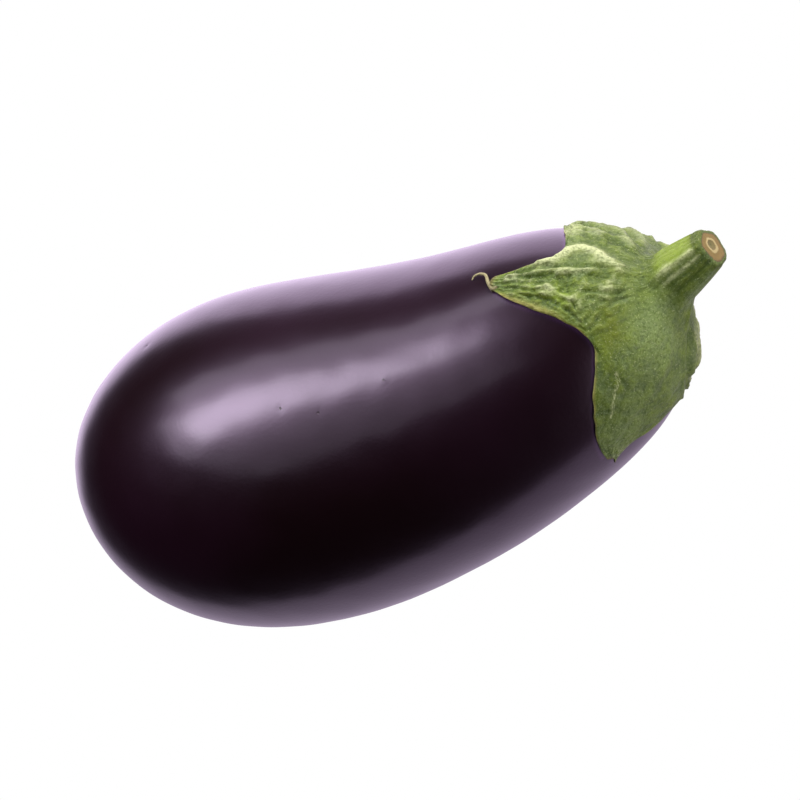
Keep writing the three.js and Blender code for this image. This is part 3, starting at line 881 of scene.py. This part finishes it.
# The top's rings from the notches inwards: the disc, the hollow foot, the stalk, its shoulder and the cut
cap_rings = [
    disc_points(lerp(NOTCH_REACH, FLARE_REACH, ring_number / DISC_RINGS), 1)
    for ring_number in range(1, DISC_RINGS + 1)
]
for ring_number in range(1, FILLET_RINGS + 1):
    part = ring_number / FILLET_RINGS
    ring_reach = lerp(FLARE_REACH, STALK_REACH, part)
    ring_places = places(column_azimuth, ring_reach, column_u, stalk=STALK_FOOT * part)
    cap_rings.append((fillet_points(part), ring_places))
for ring_number in range(1, STEM_RINGS + 1):
    part = ring_number / STEM_RINGS
    ring = lerp(stem_points(lerp(STEM_FOOT, STEM_LENGTH, part)), rim_points(), part**2)
    cap_rings.append((ring, places(column_azimuth, STALK_REACH, column_u, stalk=lerp(STALK_FOOT, 1, part))))

toward_shoulder = circle_point(np.zeros(3), stem_end_direction, 1, SHOULDER_AZIMUTH)
toward_shoulder = toward_shoulder - CUT_NORMAL * (toward_shoulder @ CUT_NORMAL)
face_centre = stem_end + FACE_OFFSET * toward_shoulder
pith_centre = face_centre + PITH_OFFSET * toward_shoulder
face_edge = lerp(face_centre, cut_points(), FACE_SHARE)
for ring_number in range(1, SHOULDER_RINGS + 1):
    part = ring_number / SHOULDER_RINGS
    ring = lerp(lerp(rim_points(), cut_points(), part), lerp(cut_points(), face_edge, part), part)
    cap_rings.append((ring, places(
        column_azimuth, STALK_REACH, column_u, stalk=1, cut=lerp(ROUNDED_SHOULDER, 1, part)
    )))
for ring_number in range(1, FACE_RINGS):
    outwards = 1 - ring_number / FACE_RINGS
    wood = RING_RELIEF * np.exp(-((outwards - WOOD_RING[0]) / WOOD_RING[1])**2)
    pith = PITH_DEPTH * np.exp(-(outwards / PITH_WIDTH)**2)
    ring = lerp(pith_centre, face_edge, outwards) + (wood - pith) * CUT_NORMAL
    cap_rings.append((ring, places(column_azimuth, STALK_REACH, column_u, stalk=1, cut=outwards)))
for ring, ring_places in cap_rings:
    next_ring = cap_skin.row(ring, ring_places)
    cap_skin.band(over_ring, next_ring)
    over_ring = next_ring
pith_pole = cap_skin.row(pith_centre - PITH_DEPTH * CUT_NORMAL, places(0, STALK_REACH, stalk=1, cut=0))
cap_skin.fan(pith_pole, over_ring, upward=True)

# Colours of the cap
GREEN_MID = (0.112, 0.155, 0.006, 1.0)
GREEN_DARK = (0.038, 0.066, 0.003, 1.0)
GREEN_YELLOW = (0.094, 0.120, 0.002, 1.0)
# The bright green is painted highlight, on a spot of the left sepal and on the stalk's upper side
GREEN_BRIGHT = (0.170, 0.240, 0.018, 1.0)
BLOOM_GREY = (0.140, 0.190, 0.060, 1.0)
# The pale colour is the fine down, and also painted highlight and sheen on crests, folds and the stalk's
# ridges
FUZZ_AND_HIGHLIGHT_PALE = (0.400, 0.430, 0.215, 1.0)
EDGE_CREAM = (0.330, 0.280, 0.080, 1.0)
EDGE_OLIVE = (0.110, 0.095, 0.025, 1.0)
# Soft round patches on the unrolled cap: azimuth, reach, spread and strength
# The spot at -62 on the front sepal is painted light, on a part that faces away from the lamps; the others
# are bloom
BLOOM_AND_LIGHT_SPOTS = ((-25, 15, 9, 0.75), (-60, 20, 9, 0.35), (-62, 42, 11, 0.6))
YELLOW_SPOTS = ((-2, 24, 5, 1.0), (-15, 25.5, 3.5, 0.8), (30, 18, 6, 0.5))
# The bright spot paints a highlight on the left sepal
BRIGHT_SPOTS = ((20, 33.3, 3, 1.0),)
DARK_SPOTS = ((-9, 27.5, 5, 0.3),)
# The pale spot paints a highlight on the top sepal
PALE_SPOTS = ((76, 31, 3.5, 0.7),)
FLECKED_SPOTS = ((-72, 47.5, 4, 0.4),)
# Bands along the stalk: azimuth, half width and strength
# The pale bands paint highlights along the stalk's ridges
PALE_HIGHLIGHT_BANDS = ((14, 7, 0.6), (-6, 4.5, 0.75))
YELLOW_BANDS = ((-22, 10, 0.7),)
# The dark band at -38 paints shade in the stalk's groove; the band at -19 is a darker stripe of the stalk
DARK_AND_SHADE_BANDS = ((-19, 11, 1.0), (-38, 5, 0.9))
# These patches paint highlights on the stalk's upper side
HIGHLIGHT_PATCH_BANDS = ((17, 9, 0.6),)
# Where the painted highlight patches lie along the stalk, from STALK_FOOT to 1 at the cut, and their spread
STALK_HIGHLIGHT_PATCHES = (0.36, 0.74)
PATCH_SPREAD = 0.07
# A line of pale dots down the front sepal: half width, size of the dots and strength
DOTTED_LINE = ((-32, 30.4), (-37, 31.2), (-40.5, 34.4), (-48.5, 39.7))
DOTTED_WIDTH = 0.45
DOT_SIZE = 0.9
DOT_STRENGTH = 1.2
FLECK_SIZE = 1.5
MAIN_FOLD_WIDTH = 2.0
VALLEY_WIDTH = 0.7
# The front of the cap, between these azimuths, is smooth and takes this share of the relief's tones
SMOOTH_AZIMUTHS = (-108, -8)
SMOOTH_SHARE = 0.12
# Crests are painted paler as highlight and hollows painted darker as shade: how strongly, and the heights
# over which that comes in
CREST_STRENGTH = 0.72
CREST_HEIGHTS = (0.15, 1.1)
HOLLOW_STRENGTH = 0.9
HOLLOW_DEPTHS = (-0.08, 0.35)
# Width of the tan rim, as a share of a sepal's width
RIM_WIDTH = 0.022


def spots(flat, entries):
    """Soft round patches on the unrolled cap, added up."""
    total = 0
    for azimuth_degrees, reach, spread, strength in entries:
        away = np.linalg.norm(flat - flat_place(azimuth_degrees, reach), axis=-1)
        total = total + strength * np.exp(-(away / spread)**2)
    return total


def near_line(flat, corners, half_width):
    """1 on a line over the unrolled cap, falling off to both sides."""
    return np.exp(-(distance_to_line(flat, corners) / half_width)**2)


def between(value, low, high):
    """1 between two values and 0 outside them."""
    return np.where((value > low) & (value < high), 1, 0)


# Every point's places, with its azimuth also as turned, from -180 to 180
cap_points = np.vstack(cap_skin.points)
azimuth_at, reach_at, across_at, along_at, top_at, stalk_at, cut_at, relief_at = np.vstack(cap_skin.places).T
turned = (azimuth_at + 180) % 360 - 180
flat_at = flat_place(azimuth_at, reach_at)
edge_distance = np.minimum(across_at, 1 - across_at)
on_leaf = 1 - smoothstep(stalk_at, 0.16, 0.30)
on_stalk = 1 - on_leaf
shoulder = smoothstep(stalk_at, 0.7, 0.98)


def bands(entries):
    """Soft bands along the stalk, added up."""
    return on_stalk * sum(
        strength * np.exp(-((turned - azimuth_degrees) / half_width)**2)
        for azimuth_degrees, half_width, strength in entries
    )


# Parts of the leaf that take a tone of their own, and the crests and hollows, which take a painted highlight
# and a painted shade
rough_leaf = on_leaf * top_at * lerp(1, SMOOTH_SHARE, between(turned, *SMOOTH_AZIMUTHS))
crest = CREST_STRENGTH * smoothstep(relief_at, *CREST_HEIGHTS)
hollow = HOLLOW_STRENGTH * smoothstep(-relief_at, *HOLLOW_DEPTHS)
dotted = near_line(flat_at, DOTTED_LINE, DOTTED_WIDTH) * (lumps(cap_points, DOT_SIZE, seed=31) > 0)
flecked = spots(flat_at, FLECKED_SPOTS) * (lumps(cap_points, FLECK_SIZE, seed=32) > 0)
far_side = smoothstep(azimuth_at, 62, 105) * smoothstep(reach_at, 12, 20)
right_lobe = smoothstep(-turned, 99, 106) * smoothstep(reach_at, 14, 20)
left_sepal = between(azimuth_at, -5, 57) * smoothstep(reach_at, 26, 36)
left_low_half = left_sepal * smoothstep(-across_at, -0.42, -0.2)
leaf_rim = np.exp(-(edge_distance / RIM_WIDTH)**2) * smoothstep(along_at, 0.0, 0.08) * (1 - 0.8 * right_lobe)
left_low_edge = left_sepal * np.exp(-(across_at / 0.10)**2) * smoothstep(along_at, 0.25, 0.6)
top_end_edge = between(azimuth_at, 57, 90) * np.exp(-(across_at / 0.08)**2) * along_at

# Masks, each the strength of one colour
# The pale mask is painted highlight on crests, along the main fold, at the pale spot and on the stalk's
# ridges and patches, and painted sheen on the right lobe; the far side's share, the dots and the flecks are
# pale down and marks of the tissue
pale_mask = rough_leaf * (
    crest * (1 - 0.6 * far_side) + 0.1 * far_side
    + 0.65 * near_line(flat_at, MAIN_FOLD[:6], MAIN_FOLD_WIDTH) + spots(flat_at, PALE_SPOTS)
)
pale_mask = pale_mask + on_leaf * (
    DOT_STRENGTH * dotted + 0.4 * right_lobe * smoothstep(edge_distance, 0.04, 0.12) + flecked
)
pale_mask = pale_mask + (1 - shoulder) * bands(PALE_HIGHLIGHT_BANDS)
for along_stalk in STALK_HIGHLIGHT_PATCHES:
    pale_mask = pale_mask + bands(HIGHLIGHT_PATCH_BANDS) * np.exp(-((stalk_at - along_stalk) / PATCH_SPREAD)**2)
# The bloom mask is bloom, and painted light at the front sepal's spot at -62
bloom_and_light_mask = on_leaf * spots(flat_at, BLOOM_AND_LIGHT_SPOTS) + 0.7 * on_stalk * smoothstep(-turned, 44, 60)
yellow_mask = 0.9 * shoulder + on_leaf * (spots(flat_at, YELLOW_SPOTS) + 0.7 * left_low_half)
yellow_mask = yellow_mask + bands(YELLOW_BANDS) + 0.9 * on_stalk * smoothstep(turned, 8, 30)
# The bright mask is painted highlight: a spot on the left sepal, and the stalk's upper side where it faces
# the light
bright_mask = on_leaf * spots(flat_at, BRIGHT_SPOTS)
bright_mask = bright_mask + 0.9 * on_stalk * (1 - shoulder) * smoothstep(turned, 2, 25)
# The dark mask is painted shade in the hollows, along the valley and in the stalk's groove; it also darkens
# the left sepal's lower half, the stalk's shoulder, a spot at the notch and a band at -19
dark_mask = rough_leaf * hollow + 0.25 * left_low_half + 0.8 * shoulder + bands(DARK_AND_SHADE_BANDS)
dark_mask = dark_mask + on_leaf * (
    spots(flat_at, DARK_SPOTS) + 0.9 * near_line(flat_at, VALLEY, VALLEY_WIDTH)
)
tan_mask = on_leaf * np.max([0.75 * leaf_rim, 0.85 * left_low_edge, 0.9 * top_end_edge], axis=0)
tip_mask = on_leaf * smoothstep(along_at, 0.94, 1.0)
streaked_mask = on_leaf * lerp(0.06, 1, smoothstep(azimuth_at, -6, 25)) + 0.5 * on_stalk

# Streaks along the tissue: how many go round the cap, over two pi, how long one is in millimetres, and how
# long the stalk counts as
STREAKS_ROUND = 26
STREAK_LENGTH = 2.6
STREAKED_STALK = 20
streaks_at = np.stack([
    STREAKS_ROUND * np.cos(np.radians(azimuth_at)),
    STREAKS_ROUND * np.sin(np.radians(azimuth_at)),
    (reach_at - STREAKED_STALK * stalk_at) / STREAK_LENGTH,
], axis=-1)

# Layers of colour over the mottled green, from the lowest up: the mask that places a layer, the noise that
# breaks it up with the range that counts, the layer's strength at the two ends of that range, and its colour
CAP_LAYERS = (
    ("bloom_and_light", "grain", (0.30, 0.55), (0.4, 1.0), BLOOM_GREY),
    ("streaked", "streaks", (0.46, 0.34), (0.0, 0.8), GREEN_DARK),
    ("streaked", "streaks", (0.55, 0.68), (0.0, 0.8), BLOOM_GREY),
    ("everywhere", "clouds", (0.45, 0.70), (0.0, 0.4), BLOOM_GREY),
    ("everywhere", "grain", (0.48, 0.34), (0.0, 0.55), GREEN_DARK),
    ("everywhere", "grain", (0.53, 0.68), (0.0, 0.45), BLOOM_GREY),
    ("yellow", "mottle", (0.30, 0.55), (0.4, 1.0), GREEN_YELLOW),
    ("bright", "grain", (0.32, 0.55), (0.6, 1.0), GREEN_BRIGHT),
    ("dark", "grain", (0.60, 0.40), (0.5, 1.0), GREEN_DARK),
    ("pale", "grain", (0.36, 0.62), (0.4, 1.0), FUZZ_AND_HIGHLIGHT_PALE),
    ("everywhere", "flecks", (0.62, 0.74), (0.0, 0.4), FUZZ_AND_HIGHLIGHT_PALE),
    ("tan", "mottle", (0.35, 0.60), (0.3, 1.0), EDGE_CREAM),
    ("tip", "unbroken", (0.0, 1.0), (1.0, 1.0), EDGE_OLIVE),
    ("underside", "unbroken", (0.0, 1.0), (1.0, 1.0), BLOOM_GREY),
)


def cap_material():
    """Leathery green tissue with a fine pale down: mottled green under the layers of colour, with streaks and
    cells in the bump. Some layers paint light: highlights on crests, folds and the stalk's ridges, and shade
    in hollows, the valley and the stalk's groove."""
    material, tree, output = new_material("green_cap_tissue")
    place = add_node(tree, "ShaderNodeTexCoord").outputs["Object"]
    along_tissue = add_node(tree, "ShaderNodeAttribute", attribute_name="streaks").outputs["Vector"]
    grain = add_grain(tree, 1400, 0.5, 0.0004)
    noises = {
        "mottle": noise(tree, place, 330, 4, 0.55),
        "clouds": noise(tree, place, 110, 2, 0.55),
        "flecks": noise(tree, place, 2300, 1, 0.55),
        "streaks": noise(tree, along_tissue, 1.0, 3, 0.6),
        "grain": grain["Grain"],
        "unbroken": 1.0,
    }
    colour = mixed(tree, ranged(tree, noises["mottle"], 0.35, 0.65), GREEN_DARK, GREEN_MID)
    for mask_name, noise_name, levels, strengths, layer_colour in CAP_LAYERS:
        strength = ranged(tree, noises[noise_name], *levels, *strengths)
        if mask_name != "everywhere":
            strength = combined(tree, "MULTIPLY", read_number(tree, mask_name), strength)
        colour = mixed(tree, strength, colour, layer_colour)
    ribbed = add_node(tree, "ShaderNodeBump", {
        "Height": combined(tree, "MULTIPLY", read_number(tree, "streaked"), noises["streaks"]),
        "Strength": 0.7,
        "Distance": 0.0010,
        "Normal": grain["Normal"],
    })
    rough = add_node(tree, "ShaderNodeBump", {
        "Height": noises["mottle"], "Strength": 0.6, "Distance": 0.0012, "Normal": ribbed.outputs["Normal"],
    })
    surface = add_node(tree, "ShaderNodeBsdfPrincipled", {
        "Base Color": colour,
        "Roughness": ranged(tree, noises["mottle"], 0.3, 0.7, 0.48, 0.66),
        "Specular IOR Level": 0.30,
        "Sheen Weight": 0.02,
        "Sheen Roughness": 0.4,
        "Normal": rough.outputs["Normal"],
    })
    tree.links.new(surface.outputs[0], output.inputs["Surface"])
    return material


# Colours of the cut, from the pith at 0 to the rim at 1
CUT_STOPS = (
    (0.00, (0.07, 0.07, 0.015, 1)), (0.16, (0.11, 0.09, 0.02, 1)), (0.32, (0.11, 0.08, 0.02, 1)),
    (0.38, (0.29, 0.23, 0.09, 1)), (0.48, (0.30, 0.24, 0.10, 1)), (0.56, (0.145, 0.095, 0.018, 1)),
    (0.86, (0.150, 0.095, 0.018, 1)), (0.95, (0.09, 0.055, 0.012, 1)), (1.00, (0.05, 0.05, 0.01, 1)),
)
# How far the grain shifts the borders between these colours
RAGGED_BORDER = 0.12


def cut_material():
    """The cut end: grey-brown pith, a cream ring of wood, tan flesh and a brown rim, with ragged borders."""
    material, tree, output = new_material("stalk_cut")
    grain = add_grain(tree, 1500, 0.6, 0.0004)
    ragged = combined(tree, "MULTIPLY_ADD", grain["Grain"], RAGGED_BORDER, read_number(tree, "cut"))
    centred = combined(tree, "SUBTRACT", ragged, RAGGED_BORDER / 2)
    ramp = add_node(tree, "ShaderNodeValToRGB", {"Fac": centred})
    while len(ramp.color_ramp.elements) < len(CUT_STOPS):
        ramp.color_ramp.elements.new(1.0)
    for element, (position, colour) in zip(ramp.color_ramp.elements, CUT_STOPS):
        element.position = position
        element.color = colour
    surface = add_node(tree, "ShaderNodeBsdfPrincipled", {
        "Base Color": ramp.outputs["Color"], "Roughness": 0.75, "Normal": grain["Normal"],
    })
    tree.links.new(surface.outputs[0], output.inputs["Surface"])
    return material


cap = new_object("green_cap", cap_points, cap_skin.faces, cap_material())
cap.data.materials.append(cut_material())
cut_faces = np.array([cut_at[face].max() <= 1.0 for face in cap_skin.faces], dtype=np.int32)
cap.data.polygons.foreach_set("material_index", cut_faces)
for attribute_name, mask_values in (
    ("pale", pale_mask), ("bloom_and_light", bloom_and_light_mask), ("yellow", yellow_mask), ("bright", bright_mask),
    ("dark", dark_mask), ("tan", tan_mask), ("tip", tip_mask), ("underside", 1 - top_at), ("cut", cut_at),
    ("streaked", streaked_mask),
):
    add_attribute(cap, attribute_name, np.clip(mask_values, 0, 2))
streaks = cap.data.attributes.new("streaks", "FLOAT_VECTOR", "POINT")
streaks.data.foreach_set("vector", streaks_at.astype(np.float32).ravel())
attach(cap, "root")
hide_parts("calyx_and_stem")

# The fruit's skin is violet in a thin line along the cap's edge, where the growing cap covered it
EDGE_SAMPLES = 24
VIOLET_WIDTH = 0.6
VIOLET_STRENGTH = 0.5
# The cap reaches no further than this from the stalk's pole
CAP_REACH = 60
ring_reaches = np.interp(np.pi - ring_angles, np.pi - reach_angles, reach_table)
vertex_reach = np.concatenate([reach_table[-1:], np.repeat(ring_reaches, FRUIT_SEGMENTS), reach_table[:1]])
vertex_azimuth = np.concatenate([[0], np.tile(np.degrees(segment_azimuths), len(ring_angles)), [0]])
near_cap = vertex_reach < CAP_REACH
near_flat = flat_place(vertex_azimuth[near_cap], vertex_reach[near_cap])
edge_lines = [
    bezier(sepal[side], np.linspace(0, 1, EDGE_SAMPLES)) for sepal in SEPALS for side in ("start", "end")
]
nearest_edge = np.min([distance_to_line(near_flat, line) for line in edge_lines], axis=0)
violet = np.zeros(len(vertex_reach))
violet[near_cap] = VIOLET_STRENGTH * np.exp(-(nearest_edge / VIOLET_WIDTH)**2)
add_attribute(fruit, "cap_edge", violet)

# Dried tip. The left sepal ends in a withered, curled thread that stands a little off the fruit.
# The thread's path: azimuth, reach and height above the fruit's skin
THREAD_PATH = (
    (38.0, 48.6, 0.5), (36.5, 49.8, 0.6), (37.0, 50.6, 0.8), (40.5, 51.4, 1.0),
    (45.0, 52.0, 1.1), (47.0, 53.7, 1.1), (47.0, 55.5, 0.9), (45.8, 56.4, 0.5),
)
THREAD_FOOT_RADIUS = 0.8
THREAD_END_RADIUS = 0.20
THREAD_RINGS = 60
THREAD_SIDES = 12
THREAD_OLIVE = (0.10, 0.085, 0.03, 1.0)
THREAD_CREAM = (0.24, 0.21, 0.10, 1.0)


def smooth_path(corners, count):
    """Evenly spread points of a smooth curve through the corners: each stretch is a cubic whose slope at a
    corner is half the step between its neighbours."""
    corners = np.asarray(corners, float)
    padded = np.vstack([2 * corners[0] - corners[1], corners, 2 * corners[-1] - corners[-2]])
    part = np.linspace(0, len(corners) - 1, count)
    index = np.minimum(part.astype(int), len(corners) - 2)
    t = (part - index)[:, None]
    before, start, stop, after = (padded[index + k] for k in range(4))
    return 0.5 * (2 * start + (stop - before) * t + (2 * before - 5 * start + 4 * stop - after) * t**2
                  + (3 * start - before - 3 * stop + after) * t**3)


def thread_material():
    """Dead tissue: olive at the foot and cream towards the end, with a ragged change between them."""
    material, tree, output = new_material("dried_thread")
    grain = add_grain(tree, 1800, 0.5, 0.0003)
    drier = combined(tree, "MULTIPLY_ADD", grain["Grain"], 0.6, read_number(tree, "along"))
    colour = mixed(tree, ranged(tree, drier, 0.3, 0.9), THREAD_OLIVE, THREAD_CREAM)
    surface = add_node(tree, "ShaderNodeBsdfPrincipled", {
        "Base Color": colour, "Roughness": 0.7, "Normal": grain["Normal"],
    })
    tree.links.new(surface.outputs[0], output.inputs["Surface"])
    return material


thread_places = smooth_path(THREAD_PATH, THREAD_RINGS)
thread_centres = above_skin(thread_places[:, 1], thread_places[:, 0], thread_places[:, 2])
thread_tangents = np.gradient(thread_centres, axis=0)
thread_tangents /= np.linalg.norm(thread_tangents, axis=1, keepdims=True)
thread_part = np.linspace(0, 1, THREAD_RINGS)
thread_radii = lerp(THREAD_FOOT_RADIUS, THREAD_END_RADIUS, thread_part**0.8)
thread_skin = Skin()
thread_turns = 2 * np.pi * np.arange(THREAD_SIDES) / THREAD_SIDES
thread_rings = [
    thread_skin.row(circle_point(centre, tangent, radius, thread_turns))
    for centre, tangent, radius in zip(thread_centres, thread_tangents, thread_radii)
]
thread_skin.fan(thread_skin.row(thread_centres[0]), thread_rings[0], upward=False)
for lower_ring, upper_ring in zip(thread_rings, thread_rings[1:]):
    thread_skin.band(lower_ring, upper_ring)
thread_skin.fan(thread_skin.row(thread_centres[-1]), thread_rings[-1], upward=True)
thread = new_object("dried_sepal_tip", np.vstack(thread_skin.points), thread_skin.faces, thread_material())
add_attribute(thread, "along", np.append(np.repeat(thread_part, THREAD_SIDES), [0, 1]))
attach(thread, "root")
